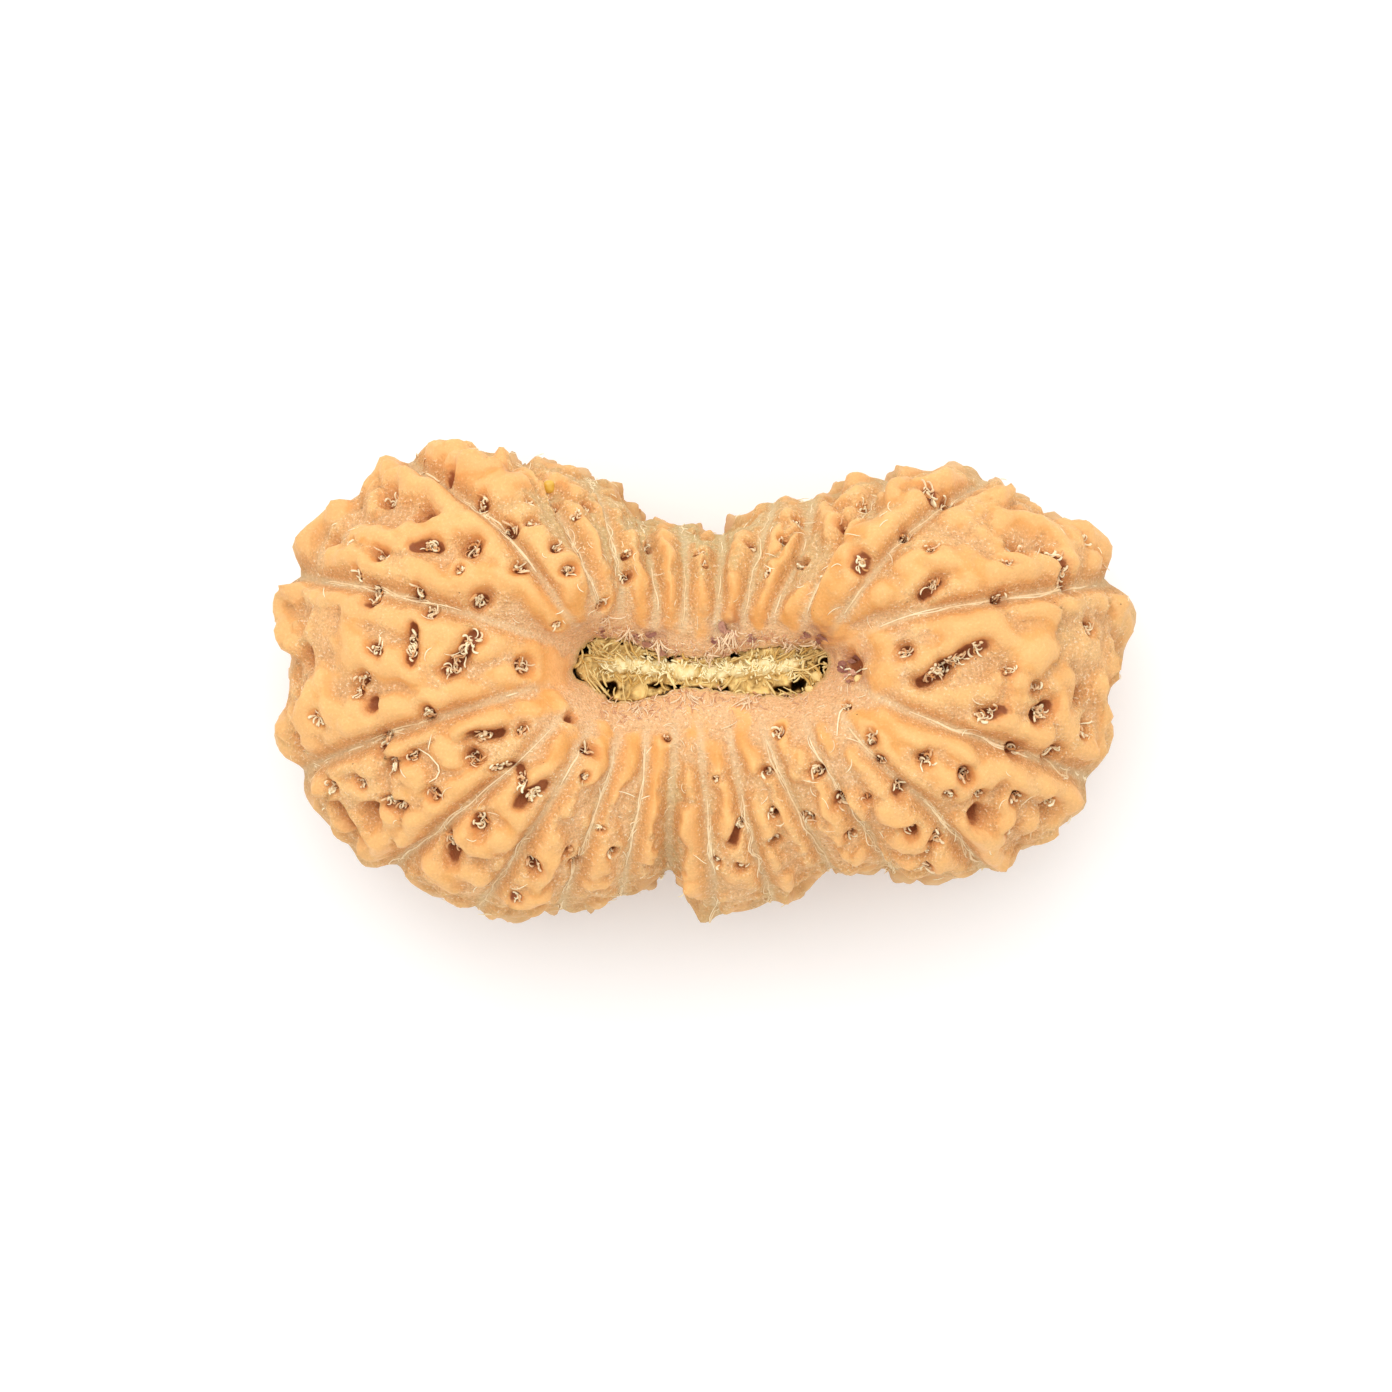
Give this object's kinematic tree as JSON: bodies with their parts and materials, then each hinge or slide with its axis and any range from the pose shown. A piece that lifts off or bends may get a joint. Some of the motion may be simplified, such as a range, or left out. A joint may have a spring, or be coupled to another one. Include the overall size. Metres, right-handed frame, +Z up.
{
  "type": "rudraksha bead",
  "caption": "Dried seed bead of a rudraksha fruit, wide and two-lobed, its ridged stone cleft from mouth to rim all round, with a fibrous core in the slit through its middle.",
  "frame": {"origin": "centre of the bead's outline seen from above, on the surface that the bead lies on", "axes": "+X along the bead's length and the slit, +Y across it, +Z up through the mouth, along the hole"},
  "size_m": [0.0418, 0.0234, 0.0192],
  "materials": {
    "stone": "waxy light brown crests over rough paler hollows",
    "core": "dry pale fibres"
  },
  "bodies": {
    "root": {"bead_stone": "stone", "core_fibre": "core"}
  },
  "joints": []
}
